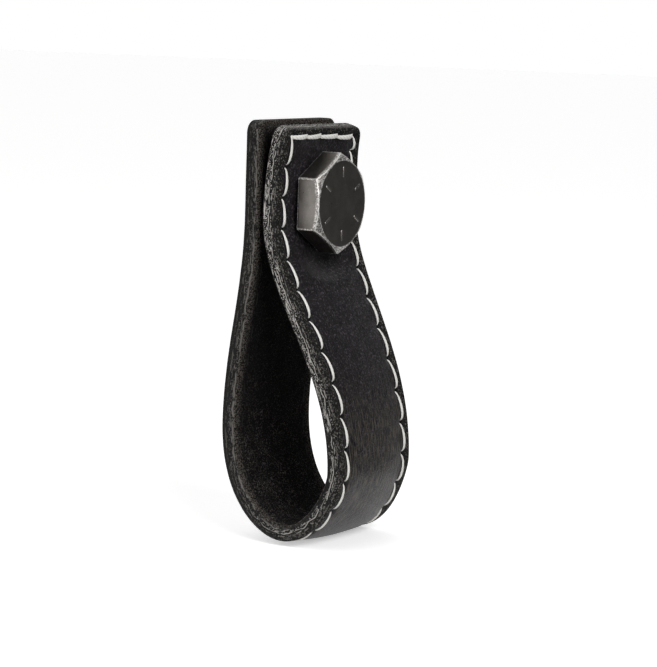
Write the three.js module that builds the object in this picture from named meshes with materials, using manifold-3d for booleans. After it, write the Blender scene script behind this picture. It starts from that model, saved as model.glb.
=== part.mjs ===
// A leather loop pull for a cabinet door or a drawer.
// One thick strip of black leather is folded into a loop and its two ends lie one over the other.
// A hexagon bolt goes through both ends. A pale thread runs round the strip just inside its edge.
//
// Millimetres, +Z up, +X along the strip's width, -Y towards the room, +Y towards the door.
// The origin is on the bolt's axis, in the plane of the strip's back face, which meets the door.

import * as THREE from 'three';
import * as BufferGeometryUtils from 'three/addons/utils/BufferGeometryUtils.js';
import Module from 'manifold-3d';

// Strip
const strip_width = 27.6;
const strip_thickness = 3.0;
const crown = 0.5; // how far the grain side swells between the two seams
const corner_radius = 2.4; // the cut ends' corners, seen from the front
const edge_drop = 0.35; // the grain side's worn edge: how far it falls, and over what width
const edge_round = 0.35;
const edge_shoulder = 0.06; // how far it has fallen where the round starts

// Side view of the loop, along the middle of the strip's thickness
const back_end_height = 15.7; // the cut ends' heights above the bolt's axis
const front_end_height = 14.6;
const back_straight_to = -2.1; // the back leg is flat from its end down to here
const leg_spacing = 4.8; // between the legs' middle lines at the bolt
const waist_height = -2.3; // where the front leg comes nearest to the back one
const flare = 1.5; // how far the front leg's end leans forward from there
const back_belly = 4.15; // how far the back leg bulges towards the door, and at what height
const back_belly_height = -42.6;
const front_belly = 19.6; // how far the front leg bulges from the back leg's straight part
const front_belly_height = -50.7;
const foot_depth = 8.0; // the loop's lowest point
const foot_height = -63.1;

// Lengths of the curve's handles at those places, each along the strip
const back_straight_handle = 15.1;
const back_belly_upper_handle = 13.7;
const back_belly_lower_handle = 13.2;
const foot_back_handle = 5.25;
const foot_front_handle = 7.6;
const front_belly_lower_handle = 3.0;
const front_belly_upper_handle = 22.2;
const waist_lower_handle = 15.0;
const waist_upper_handle = 5.0;
const flare_handle = 5.0;
const flare_angle = 0.28;

// Twist of the strip about its own length, in degrees: the far edge goes outwards where it is positive
const twist_below_bolt = 2.9;
const twist_front_belly = -2.1;
const twist_foot = 3.6;
const twist_back_belly = 0.4;

// Seam
const seam_inset = 2.6; // from the strip's long edges to the row of holes
const end_inset = 1.8; // and from its cut ends
const long_row_stitches = 28;
const short_row_stitches = 4;
const far_row_shift = 0.45; // the far row's holes, as a part of a stitch, against the near row's
const belly_slip = 1.8; // how far the holes near the front belly have moved on towards the foot
const belly_slip_from_end = 62; // from the front end to the middle of that stretch
const belly_slip_spread = 22;
const hole_reach = 1.9; // how far along the seam a hole draws the leather in
const hole_half_width = 1.0; // and towards the strip's edge
const face_hole_depth = 1.1;
const lower_hole_depth = 0.8;
const face_thread_radius = 0.33;
const face_thread_dip = 0.3; // the thread's middle, below the leather at a hole
const face_thread_rise = 0.5; // and above it between holes
const face_thread_foot_rise = 0.15; // and there round the foot, where the bend draws the thread tight
const foot_groove_depth = 0.45; // the groove that it has pressed there
const foot_stretch = 14; // how far from the foot that reaches
const lower_thread_radius = 0.27;
const lower_thread_dip = 0.2;
const lower_thread_rise = 0.4;
const thread_fullness = 0.2; // the lower, the sooner a stitch is at its full height after a hole

// Bolt
const across_flats = 17.0;
const head_height = 5.3;
const washer_face_height = 0.4;
const washer_face_diameter = 15.6;
const chamfer_circle_diameter = 16.8;
const chamfer_angle = 30;
const head_turn = 0.5; // degrees, clockwise from the front, from a corner that points straight up
const shank_diameter = 10.0;
const shank_end_chamfer = 0.8;
const tapped_hole_diameter = 4.2;
const tapped_hole_depth = 10.0;
const tapped_hole_mouth = 0.5;

// Fits
const hole_clearance = 0.3; // round the shank, and under the head
const shank_recess = 0.3; // from the strip's back face in to the end of the shank
const dent_depth = 0.5; // how far the head is drawn into the leather
const dent_flat_margin = 0.5; // beyond the head's corners
const dent_slope = 2.2;

// Facets
const path_steps = 240;
const shank_sides = 32;
const hole_sides = 32;
const face_thread_sides = 6;
const lower_thread_sides = 5;
const rings_per_stitch = 4;

const half_width = strip_width / 2;
const half_thickness = strip_thickness / 2;
const seam_x = half_width - seam_inset;
const inside_seam = seam_x - hole_half_width;
const outside_seam = seam_x + hole_half_width;
const quarter = seam_x / short_row_stitches; // half a stitch of the short rows
const corner_reach = across_flats / Math.sqrt(3); // from the bolt's axis to the hexagon's corners
const overshoot = 1.0; // cutting tools run past the solids that they cut by this much

// A point of the side view, depth towards the door first
function sidePoint(depth, height) {
  return new THREE.Vector2(depth, height);
}

// The side view's line, from the back leg's end, down, round the foot and up to the front leg's end
function makeSideLine() {
  const back_depth = -half_thickness;
  const waist_depth = back_depth - leg_spacing;
  const belly_depth = back_depth + back_belly;
  const front_depth = back_depth - front_belly;
  const end_depth = waist_depth - flare;
  const flare_back = Math.sin(flare_angle) * flare_handle;
  const flare_down = Math.cos(flare_angle) * flare_handle;
  const line = new THREE.CurvePath();
  line.add(new THREE.LineCurve(
    sidePoint(back_depth, back_end_height),
    sidePoint(back_depth, back_straight_to),
  ));
  line.add(new THREE.CubicBezierCurve(
    sidePoint(back_depth, back_straight_to),
    sidePoint(back_depth, back_straight_to - back_straight_handle),
    sidePoint(belly_depth, back_belly_height + back_belly_upper_handle),
    sidePoint(belly_depth, back_belly_height),
  ));
  line.add(new THREE.CubicBezierCurve(
    sidePoint(belly_depth, back_belly_height),
    sidePoint(belly_depth, back_belly_height - back_belly_lower_handle),
    sidePoint(back_depth - foot_depth + foot_back_handle, foot_height),
    sidePoint(back_depth - foot_depth, foot_height),
  ));
  line.add(new THREE.CubicBezierCurve(
    sidePoint(back_depth - foot_depth, foot_height),
    sidePoint(back_depth - foot_depth - foot_front_handle, foot_height),
    sidePoint(front_depth, front_belly_height - front_belly_lower_handle),
    sidePoint(front_depth, front_belly_height),
  ));
  line.add(new THREE.CubicBezierCurve(
    sidePoint(front_depth, front_belly_height),
    sidePoint(front_depth, front_belly_height + front_belly_upper_handle),
    sidePoint(waist_depth, waist_height - waist_lower_handle),
    sidePoint(waist_depth, waist_height),
  ));
  line.add(new THREE.CubicBezierCurve(
    sidePoint(waist_depth, waist_height),
    sidePoint(waist_depth, waist_height + waist_upper_handle),
    sidePoint(end_depth + flare_back, front_end_height - flare_down),
    sidePoint(end_depth, front_end_height),
  ));
  return line;
}

const side_line = makeSideLine();
side_line.arcLengthDivisions = path_steps * 10;
const strip_length = side_line.getLength();
// How far along the strip each named place of the side view is
const place_lengths = side_line.getCurveLengths();
const straight_end_at = place_lengths[0];
const back_belly_at = place_lengths[1];
const foot_at = place_lengths[2];
const front_belly_at = place_lengths[3];
const waist_at = place_lengths[4];

// The bolt's axis crosses the front leg at height 0: the length there is found by halving
function lengthAtAxis() {
  let low = front_belly_at;
  let high = strip_length;
  for (let round = 0; round < path_steps; round += 1) {
    const middle = (low + high) / 2;
    if (side_line.getPointAt(middle / strip_length).y < 0) {
      low = middle;
    } else {
      high = middle;
    }
  }
  return (low + high) / 2;
}

const bolt_at = lengthAtAxis();

// A smooth step from 0 to 1
function ease(value) {
  const t = THREE.MathUtils.clamp(value, 0, 1);
  return t * t * (3 - 2 * t);
}

const twist_keys = [
  [straight_end_at, 0],
  [back_belly_at, twist_back_belly],
  [foot_at, twist_foot],
  [front_belly_at, twist_front_belly],
  [waist_at, twist_below_bolt],
  [strip_length, 0],
];

function twistAt(along) {
  let angle = 0;
  for (let k = 1; k < twist_keys.length; k += 1) {
    const [start, from] = twist_keys[k - 1];
    const [end, to] = twist_keys[k];
    if (along >= start) {
      angle = from + (to - from) * ease((along - start) / (end - start));
    }
  }
  return THREE.MathUtils.degToRad(angle);
}

// The frame of the strip at a length: its middle, its width's direction and its outward normal
function stripFrame(along) {
  const u = THREE.MathUtils.clamp(along / strip_length, 0, 1);
  const point = side_line.getPointAt(u);
  const tangent = side_line.getTangentAt(u);
  const outward = new THREE.Vector3(0, -tangent.y, tangent.x);
  const twist = twistAt(along);
  const across = new THREE.Vector3(Math.cos(twist), 0, 0).addScaledVector(outward, Math.sin(twist));
  const normal = outward.clone().multiplyScalar(Math.cos(twist));
  normal.x = -Math.sin(twist);
  return { middle: new THREE.Vector3(0, point.x, point.y), across, normal };
}

// A point of the strip: length along it, place across it, height above its middle
function stripPoint(along, x, height) {
  const frame = stripFrame(along);
  return frame.middle.addScaledVector(frame.across, x).addScaledVector(frame.normal, height);
}

// Rows of holes
const row_length = strip_length - 2 * end_inset;
const stitch_length = row_length / long_row_stitches;

// A bell-shaped curve: 1 in the middle, falling to nothing at about twice the spread
function bell(distance, spread) {
  return Math.exp(-((distance / spread) ** 2));
}

// The length along the strip of a hole that is so many stitches from the back end's row
function holeAlong(stitches) {
  const even = end_inset + stitches * stitch_length;
  const middle = strip_length - belly_slip_from_end;
  const ends = ease((strip_length - end_inset - even) / stitch_length) * ease(stitches);
  return even - belly_slip * bell(even - middle, belly_slip_spread) * ends;
}

// The holes in the order in which the thread passes them: near row, front row, far row, back row
function makeHoles() {
  const holes = [];
  for (let k = 0; k < long_row_stitches; k += 1) {
    holes.push({ along: holeAlong(k), x: -seam_x });
  }
  for (let k = 0; k < short_row_stitches; k += 1) {
    holes.push({ along: holeAlong(long_row_stitches), x: -seam_x + (2 * seam_x * k) / short_row_stitches });
  }
  holes.push({ along: holeAlong(long_row_stitches), x: seam_x });
  for (let k = long_row_stitches - 1; k >= 0; k -= 1) {
    holes.push({ along: holeAlong(k + far_row_shift), x: seam_x });
  }
  for (let k = 0; k < short_row_stitches; k += 1) {
    holes.push({ along: holeAlong(0), x: seam_x - (2 * seam_x * k) / short_row_stitches });
  }
  return holes;
}

const holes = makeHoles();

// How much of a hole's depth the leather has at a place, from 0 to 1
function holePull(along, x) {
  let pull = 0;
  for (const hole of holes) {
    const inside = Math.abs(x) < seam_x;
    const reach_along = inside ? hole_half_width : hole_reach;
    const reach_across = inside ? quarter : hole_half_width;
    const away_along = Math.abs(along - hole.along) / reach_along;
    const away_across = Math.abs(x - hole.x) / reach_across;
    if (away_along < 1 && away_across < 1) {
      pull = Math.max(pull, (1 - away_along) * (1 - away_across));
    }
  }
  return pull;
}

// The depth of the flat that the bolt's head has pressed into the front leg's grain side
const pressed_depth = -(strip_thickness + leg_spacing + crown - dent_depth);

// The grain side swells between the seams, but it lies flat against the door
function crownAt(along, x) {
  const freed = ease((along - straight_end_at) / (foot_at - straight_end_at));
  const from_seam = Math.max(0, 1 - (x / seam_x) ** 2);
  return crown * freed * from_seam;
}

// Heights of the two sides above the middle of the thickness
function faceBase(along, x) {
  const free = half_thickness + crownAt(along, x);
  const away = Math.hypot(along - bolt_at, x) - corner_reach - dent_flat_margin;
  const pressed = 1 - ease(away / dent_slope);
  if (pressed === 0) {
    return free;
  }
  const frame = stripFrame(along);
  const flat = (pressed_depth - frame.middle.y - frame.across.y * x) / frame.normal.y;
  return free + (Math.min(flat, free) - free) * pressed;
}

// The grain side with its pits, and with the groove that the tight thread has pressed round the foot
function faceHeight(along, x) {
  const pit = face_hole_depth * holePull(along, x);
  const from_seam = Math.min(1, Math.abs(Math.abs(x) - seam_x) / hole_half_width);
  const groove = foot_groove_depth * bell(along - foot_at, foot_stretch) * (1 - from_seam);
  return faceBase(along, x) - Math.max(pit, groove);
}

function lowerHeight(along, x) {
  return -half_thickness + lower_hole_depth * holePull(along, x);
}

// Half the strip's width at a length: the corners of the cut ends are round
function halfWidthAt(along) {
  const from_end = Math.min(along, strip_length - along);
  const short = Math.max(0, corner_radius - from_end);
  return half_width - corner_radius + Math.sqrt(corner_radius ** 2 - short ** 2);
}

// Places across the strip where the surface has points, on the grain side and on the flesh side
const face_places = [0, quarter, 2 * quarter, 3 * quarter, inside_seam, seam_x, outside_seam];
const lower_places = [0, 2 * quarter, inside_seam, seam_x, outside_seam];

function mirrored(places) {
  const negative = places.filter((x) => x > 0).map((x) => -x).reverse();
  return [...negative, ...places];
}

// Near the round corners the outer places move in with the edge
function squeezed(along, x) {
  const limit = halfWidthAt(along);
  if (Math.abs(x) <= inside_seam) {
    return x;
  }
  const share = (Math.abs(x) - inside_seam) / (half_width - inside_seam);
  return Math.sign(x) * (inside_seam + share * (limit - inside_seam));
}

// One closed outline across the strip: the grain side one way, then the flesh side back
function stripOutline(along) {
  const limit = halfWidthAt(along);
  const outline = [[-limit, half_thickness - edge_drop]];
  outline.push([-limit + edge_round, half_thickness - edge_shoulder]);
  for (const x of mirrored(face_places)) {
    outline.push([squeezed(along, x), faceHeight(along, x)]);
  }
  outline.push([limit - edge_round, half_thickness - edge_shoulder]);
  outline.push([limit, half_thickness - edge_drop]);
  outline.push([limit, -half_thickness]);
  for (const x of mirrored(lower_places).reverse()) {
    outline.push([squeezed(along, x), lowerHeight(along, x)]);
  }
  outline.push([-limit, -half_thickness]);
  return outline;
}

// Lengths at which the strip has an outline: close together at the round corners and the holes
function stripStations() {
  const from_end = [0, corner_radius / 8, corner_radius / 3];
  const stations = [...from_end];
  for (let k = 0; k < long_row_stitches; k += 1) {
    for (const part of [0, far_row_shift / 2, far_row_shift, (far_row_shift + 1) / 2]) {
      stations.push(holeAlong(k + part));
    }
  }
  stations.push(holeAlong(long_row_stitches));
  for (const away of from_end.reverse()) {
    stations.push(strip_length - away);
  }
  return stations;
}

// Joins closed rings of points into a solid; ends get flat caps, unless the rings close on themselves
function loft(rings, caps) {
  const count = rings[0].length;
  const positions = rings.flat().flatMap((point) => [point.x, point.y, point.z]);
  const indices = [];
  const last = caps ? rings.length - 1 : rings.length;
  for (let r = 0; r < last; r += 1) {
    const here = r * count;
    const there = ((r + 1) % rings.length) * count;
    for (let k = 0; k < count; k += 1) {
      const next = (k + 1) % count;
      indices.push(here + k, there + next, there + k);
      indices.push(here + k, here + next, there + next);
    }
  }
  if (caps) {
    const end = (rings.length - 1) * count;
    for (const [a, b, c] of caps.first) {
      indices.push(c, b, a);
    }
    for (const [a, b, c] of caps.last) {
      indices.push(end + a, end + b, end + c);
    }
  }
  const geometry = new THREE.BufferGeometry();
  geometry.setAttribute('position', new THREE.Float32BufferAttribute(positions, 3));
  geometry.setIndex(indices);
  return geometry;
}

// Triangles of a flat outline, turned so that all go the outline's own way round
function capTriangles(outline) {
  const flat = outline.map(([x, y]) => new THREE.Vector2(x, y));
  const triangles = THREE.ShapeUtils.triangulateShape(flat, []);
  const clockwise = THREE.ShapeUtils.isClockWise(flat);
  return triangles.map(([a, b, c]) => {
    const same_way = THREE.ShapeUtils.isClockWise([flat[a], flat[b], flat[c]]) === clockwise;
    return same_way ? [a, b, c] : [a, c, b];
  });
}

const wasm = await Module();
wasm.setup();

// A closed three.js geometry as a solid for cutting
function toSolid(source) {
  const bare = source.clone();
  bare.deleteAttribute('normal');
  bare.deleteAttribute('uv');
  const merged = BufferGeometryUtils.mergeVertices(bare, 1e-5);
  const mesh = new wasm.Mesh({
    numProp: 3,
    vertProperties: new Float32Array(merged.attributes.position.array),
    triVerts: new Uint32Array(merged.index.array),
  });
  return new wasm.Manifold(mesh);
}

function toGeometry(solid) {
  const mesh = solid.getMesh();
  const geometry = new THREE.BufferGeometry();
  geometry.setAttribute('position', new THREE.Float32BufferAttribute(mesh.vertProperties, 3));
  geometry.setIndex([...mesh.triVerts]);
  geometry.computeVertexNormals();
  return geometry;
}

// A solid of revolution about the Y axis, from [radius, depth] pairs
function turned(profile, sides) {
  const points = profile.map(([radius, depth]) => new THREE.Vector2(radius, depth));
  return toSolid(new THREE.LatheGeometry(points, sides));
}

// The strip, with the bolt's hole through both legs
function makeStrip() {
  const outlines = stripStations().map((along) => ({ along, outline: stripOutline(along) }));
  const rings = outlines.map(({ along, outline }) => (
    outline.map(([x, height]) => stripPoint(along, x, height))
  ));
  const first = capTriangles(outlines[0].outline);
  const last = capTriangles(outlines[outlines.length - 1].outline);
  const body = toSolid(loft(rings, { first, last }));
  const bore_radius = shank_diameter / 2 + hole_clearance;
  const bore_front = -(2 * half_thickness + leg_spacing + crown + overshoot + half_thickness);
  const bore = turned([
    [0, bore_front],
    [bore_radius, bore_front],
    [bore_radius, overshoot],
    [0, overshoot],
  ], hole_sides);
  return toGeometry(body.subtract(bore));
}

// A thread, as one closed tube: below the surface at each hole and above it between them
function makeThread({ side, radius, dip, rise, foot_rise, sides }) {
  const line = [];
  for (let k = 0; k < holes.length; k += 1) {
    const from = holes[k];
    const to = holes[(k + 1) % holes.length];
    for (let step = 0; step < rings_per_stitch; step += 1) {
      const part = step / rings_per_stitch;
      const along = from.along + (to.along - from.along) * part;
      const x = from.x + (to.x - from.x) * part;
      const top = rise + (foot_rise - rise) * bell(along - foot_at, foot_stretch);
      const lift = -dip + (top + dip) * Math.sin(Math.PI * part) ** thread_fullness;
      const base = side > 0 ? faceBase(along, x) : half_thickness;
      line.push({ point: stripPoint(along, x, side * (base + lift)), normal: stripFrame(along).normal });
    }
  }
  const rings = line.map(({ point, normal }, k) => {
    const before = line[(k + line.length - 1) % line.length].point;
    const after = line[(k + 1) % line.length].point;
    const tangent = after.clone().sub(before).normalize();
    const sideways = normal.clone().cross(tangent).normalize();
    const up = tangent.clone().cross(sideways);
    return Array.from({ length: sides }, (_, j) => {
      const turn = (2 * Math.PI * j) / sides;
      return point.clone()
        .addScaledVector(sideways, radius * Math.cos(turn))
        .addScaledVector(up, radius * Math.sin(turn));
    });
  });
  return loft(rings, null);
}

const face_seam = {
  side: 1,
  radius: face_thread_radius,
  dip: face_thread_dip,
  rise: face_thread_rise,
  foot_rise: face_thread_foot_rise,
  sides: face_thread_sides,
};
const lower_seam = {
  side: -1,
  radius: lower_thread_radius,
  dip: lower_thread_dip,
  rise: lower_thread_rise,
  foot_rise: lower_thread_rise,
  sides: lower_thread_sides,
};

// The bolt: a chamfered hexagon head, its washer face, and a shank tapped for the door's own screw
function makeBolt() {
  const seat = pressed_depth - hole_clearance;
  const face = seat - head_height;
  const hexagon_back = seat - washer_face_height;
  const hexagon = new THREE.CylinderGeometry(corner_reach, corner_reach, hexagon_back - face, 6);
  hexagon.rotateY(THREE.MathUtils.degToRad(head_turn));
  hexagon.translate(0, (hexagon_back + face) / 2, 0);
  const circle = chamfer_circle_diameter / 2;
  const slope = Math.tan(THREE.MathUtils.degToRad(chamfer_angle));
  const reach = corner_reach + overshoot;
  const chamfer = turned([
    [0, face],
    [circle, face],
    [reach, face + (reach - circle) * slope],
    [reach, seat],
    [0, seat],
  ], shank_sides * 2);
  const shank_end = -shank_recess;
  const shank = turned([
    [0, hexagon_back - overshoot],
    [washer_face_diameter / 2, hexagon_back - overshoot],
    [washer_face_diameter / 2, seat],
    [shank_diameter / 2, seat],
    [shank_diameter / 2, shank_end - shank_end_chamfer],
    [shank_diameter / 2 - shank_end_chamfer, shank_end],
    [0, shank_end],
  ], shank_sides);
  const hole_radius = tapped_hole_diameter / 2;
  const tapped_hole = turned([
    [0, shank_end - tapped_hole_depth],
    [hole_radius, shank_end - tapped_hole_depth],
    [hole_radius, shank_end - tapped_hole_mouth],
    [hole_radius + tapped_hole_mouth + overshoot, shank_end + overshoot],
    [0, shank_end + overshoot],
  ], shank_sides);
  return toGeometry(toSolid(hexagon).intersect(chamfer).add(shank).subtract(tapped_hole));
}

const materials = {
  leather: new THREE.MeshStandardMaterial({ color: 0x19171a, roughness: 0.55, metalness: 0 }),
  pale_thread: new THREE.MeshStandardMaterial({ color: 0xe9e3d3, roughness: 0.7, metalness: 0 }),
  dark_thread: new THREE.MeshStandardMaterial({ color: 0x111012, roughness: 0.8, metalness: 0 }),
  steel: new THREE.MeshStandardMaterial({ color: 0x4b4844, roughness: 0.35, metalness: 1 }),
};

function named(name, geometry, material) {
  const mesh = new THREE.Mesh(geometry, material);
  mesh.name = name;
  return mesh;
}

const knob = new THREE.Group();
knob.add(named('leather_strap', makeStrip(), materials.leather));
knob.add(named('face_thread', makeThread(face_seam), materials.pale_thread));
knob.add(named('lower_thread', makeThread(lower_seam), materials.dark_thread));
knob.add(named('hex_bolt', makeBolt(), materials.steel));

export default knob;
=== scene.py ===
"""The looks of a black leather loop pull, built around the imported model.

The strap, the two threads and the bolt are remade as fine meshes in the places of their plain solids.
Lengths are in millimetres until a mesh is made. The lamp is placed in metres.
"""
import math

import bpy
import numpy as np
from mathutils import Matrix, Vector, noise


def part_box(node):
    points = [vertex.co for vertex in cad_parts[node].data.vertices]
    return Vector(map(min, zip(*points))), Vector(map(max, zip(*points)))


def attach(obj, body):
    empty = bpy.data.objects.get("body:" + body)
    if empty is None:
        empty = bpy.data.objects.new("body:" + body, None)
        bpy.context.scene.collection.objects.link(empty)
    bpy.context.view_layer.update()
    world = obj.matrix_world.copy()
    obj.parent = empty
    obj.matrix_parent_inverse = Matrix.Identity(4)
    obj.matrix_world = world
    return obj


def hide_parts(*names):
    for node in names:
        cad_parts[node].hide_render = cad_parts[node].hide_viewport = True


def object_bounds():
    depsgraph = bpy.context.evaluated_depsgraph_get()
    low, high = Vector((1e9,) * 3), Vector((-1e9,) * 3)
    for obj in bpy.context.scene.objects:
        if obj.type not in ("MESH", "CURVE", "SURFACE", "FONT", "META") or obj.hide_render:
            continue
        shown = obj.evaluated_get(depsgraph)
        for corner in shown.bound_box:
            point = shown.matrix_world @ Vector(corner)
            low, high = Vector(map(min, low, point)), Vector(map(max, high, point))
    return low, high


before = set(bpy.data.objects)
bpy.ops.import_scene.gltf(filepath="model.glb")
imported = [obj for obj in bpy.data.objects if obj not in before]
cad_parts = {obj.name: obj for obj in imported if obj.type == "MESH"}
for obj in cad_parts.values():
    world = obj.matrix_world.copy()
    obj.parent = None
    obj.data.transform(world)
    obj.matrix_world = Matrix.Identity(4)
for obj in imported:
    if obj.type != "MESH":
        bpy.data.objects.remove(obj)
cad_low, cad_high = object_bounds()

MILLIMETRE = 0.001

# Strap, with the model's sizes, except that the bellies, the foot and the twist lie up to 0.7 mm off them
STRIP_WIDTH = 27.6
STRIP_THICKNESS = 3.0
CROWN = 0.5  # how far the grain side swells in the middle of its width
CORNER_RADIUS = 2.4
BACK_END_HEIGHT = 15.7
FRONT_END_HEIGHT = 14.6
BACK_STRAIGHT_TO = -2.1
LEG_SPACING = 4.8  # between the middles of the two legs, at the waist
WAIST_HEIGHT = -2.3
FLARE = 1.5  # how far the front end stands out from the waist
BACK_BELLY = 4.15  # this and the next two depths are from the middle of the back leg
FRONT_BELLY = 19.6
FOOT_DEPTH = 8.7
BACK_BELLY_HEIGHT = -42.6
FRONT_BELLY_HEIGHT = -49.9
FOOT_HEIGHT = -63.0

# Lengths of the side curve's handles
BACK_STRAIGHT_HANDLE = 15.5
BACK_BELLY_UPPER_HANDLE = 14.4
BACK_BELLY_LOWER_HANDLE = 14.1
FOOT_BACK_HANDLE = 4.9
FOOT_FRONT_HANDLE = 6.9
FRONT_BELLY_LOWER_HANDLE = 3.0
FRONT_BELLY_UPPER_HANDLE = 20.4
WAIST_LOWER_HANDLE = 13.8
WAIST_UPPER_HANDLE = 5.0
FLARE_HANDLE = 5.0
FLARE_ANGLE = 0.28

# Twist of the strip about its own length, in degrees: the far edge goes outwards where it is positive
TWIST_BELOW_BOLT = 2.9
TWIST_FRONT_BELLY = -2.1
TWIST_FOOT = 1.6
TWIST_BACK_BELLY = 0.7

# Seam
SEAM_INSET = 2.6  # from the strip's long edges to the row of holes
END_INSET = 1.8  # and from its cut ends
LONG_ROW_STITCHES = 28
SHORT_ROW_STITCHES = 4
FAR_ROW_SHIFT = 0.45  # the far row's holes, as a part of a stitch, against the near row's
BELLY_SLIP = 1.8  # how far the holes near the front belly have moved on towards the foot
BELLY_SLIP_FROM_END = 62  # from the front end to the middle of that stretch
BELLY_SLIP_SPREAD = 22
FRONT_ROW_SKEW = 0.28  # the front end's row runs askew, and a little nearer the end
FRONT_ROW_SHIFT = 0.1

# Fine form of the leather
EDGE_DROP = 0.3  # the grain side's round edge: how far it falls, and over what width
EDGE_ROUND = 0.4
FLESH_EDGE_ROUND = 0.2
PIT_DEPTH = 0.3  # the hole itself
PIT_REACH = (0.5, 0.5)  # along its row and across it
GATHER_DEPTH = 0.28  # the leather drawn in round it
GATHER_REACH = (1.5, 1.3)
FLESH_PIT_SHARE = 0.4  # the flesh side's pits, as a share of the grain side's
GROOVE_DEPTH = 0.1  # where a stitch presses on the leather
GROOVE_WIDTH = 0.45
FOOT_GROOVE_DEPTH = 0.4  # and round the foot, where the bend draws the thread tight
FOOT_STRETCH = 14  # how far from the foot that reaches
WAVE_HEIGHT = 0.09  # slow unevenness of the surface, and its length
WAVE_LENGTH = 7.0
EDGE_BARREL = 0.12  # the cut edge swells a little
EDGE_ROUGHNESS = 0.07
EDGE_ROUGHNESS_LENGTH = 0.7
FLESH_ROUGHNESS = 0.06
PRESSED_DEPTH = -8.0  # the flat that the bolt's head has pressed into the front leg
DENT_FLAT_MARGIN = 0.1  # how far that flat goes beyond the head's corners
DENT_SLOPE_ACROSS = 4.0  # and how wide its slope is, across the strip and along it
DENT_SLOPE_ALONG = 7.0
DENT_CENTRE = 1.0  # inside this distance from the bolt's axis the slope's direction doesn't matter
HOLE_CLEARANCE = 0.3  # round the shank

# Threads
PALE_HALF_SIZES = (0.4, 0.2)  # width and thickness: the thread is drawn flat
PALE_DIP = 0.8  # the thread's middle, below the leather at a hole
PALE_RISE = 0.3  # and above it between holes
PALE_FOOT_RISE = 0.0  # and there round the foot
DARK_HALF_SIZES = (0.3, 0.12)
DARK_DIP = 0.6
DARK_RISE = -0.02
THREAD_FULLNESS = 0.42  # the lower, the sooner a stitch is at its full height after a hole
THREAD_TAPER = 0.5  # how much thinner a stitch is at its holes
THREAD_SLIMMING = 0.9  # the lower, the sooner it is at its full width
TUCK_SKEW = 0.72  # the lower, the steeper a stitch dives into the leather at its tucked end
TUCK_SKEW_WANDER = 0.15
TUCK_GAP = 0.1  # that end stops short of the hole by this share of the stitch
SHORT_ROW_SLANT = 0.26  # the short rows' stitches lie askew
SHORT_ROW_WIDENING = 1.3
SHORT_ROW_TAPER = 0.3
PLY_COUNT = 3
PLY_DEPTH = 0.2
PLY_TURNS = 2.2  # in one stitch
STITCH_WANDER = 0.07
STITCH_WANDER_SEED = 0.5
TUCK_SKEW_SEED = 3.5

# Bolt
ACROSS_FLATS = 17.0
WASHER_FACE_HEIGHT = 0.4
WASHER_FACE_RADIUS = 7.8
CHAMFER_CIRCLE_RADIUS = 8.4
CHAMFER_SLOPE = math.tan(math.radians(30))
HEAD_TURN = 0.5  # degrees, clockwise from the front
CORNER_ROUND = 0.3
EDGE_BREAK = 0.14
SEAT_DEPTH = -8.1  # the washer face
SHANK_RADIUS = 5.0
SHANK_CHAMFER = 0.8
SHANK_PITCH = 1.5
SHANK_THREAD_DEPTH = 0.6
TAPPED_RADIUS = 2.1
TAPPED_DEPTH = 10.0
TAPPED_MOUTH = 0.5
TAPPED_PITCH = 0.8
TAPPED_THREAD_DEPTH = 0.3
SCREW_FLANK = 1.15  # how steep a screw thread's flanks are, and how wide its crest is
SCREW_CREST = 0.07

# Strokes on the head's face
DASH_COUNT = 6
DASH_LENGTH = 2.0
DASH_WIDTH = 0.42
DASH_HEIGHT = 0.14
DASH_MIDDLE = 6.1  # from the bolt's axis
DASH_END_POINTS = 7
DASH_LEVELS = ((1.25, -0.3, 0.2), (1.1, 0.5, 0.45), (0.9, 0.9, 0.6), (0.6, 1.0, 0.5))  # width, height, wear

# Wear of the bolt, from 0 to 1; on the flats it is also a painted reflection
CHAMFER_WEAR = 0.7
# the flats' bare share from the chamfer backwards: real wear at the edge, and also a painted reflection that
# fades from the head's face towards the back
FLAT_WEAR_AND_REFLECTION = ((0.05, 0.85), (0.13, 0.65), (0.19, 0.3), (0.35, 0.15), (0.7, 0.1), (0.95, 0.15))
CORNER_WEAR = 0.95
WASHER_WEAR = 0.2
SHANK_WEAR = 0.3
SHANK_END_WEAR = 0.35
TAPPED_WEAR = 0.2

# Wear of the leather, and painted light and shade on it: each pair is where it starts and where it is full
# the front belly's rubbed streaks: real wear, also made paler as a painted reflection of the floor
RUB_AND_REFLECTION_PAST_FOOT = (0, 16)
RUB_AND_REFLECTION_PAST_BELLY = (24, 2)
MARGIN_PAST_SEAM = (0.5, 1.1)  # the dry margin, outwards from the seam
FRONT_EDGE_PAST_FOOT = (-16, 10)  # the front leg's cut edge is painted paler, as lit, and the back leg's darker, as in shade
# above the front belly the cut edge is painted paler still, as lit
UPPER_EDGE_PAST_BELLY = (0, 25)
FUZZ_FROM_FOOT = (40, 12)
FRAYED_RIM = (2.8, 0.2)  # from the flesh side's edge

# Bands of the cut edge, from 0 at the flesh side to 1 at the grain side
# where a painted shadow darkens the front leg's cut edge next to the flesh side
INNER_SHADOW_BAND = (0.3, 0.14)
OUTER_BAND = (0.55, 0.85)
PAINTED_BAND = (0.74, 0.86)
SPLIT_LEVEL = 0.58
SPLIT_LIP_LEVEL = 0.5
CORNER_LINE_LEVEL = 0.1

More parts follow.
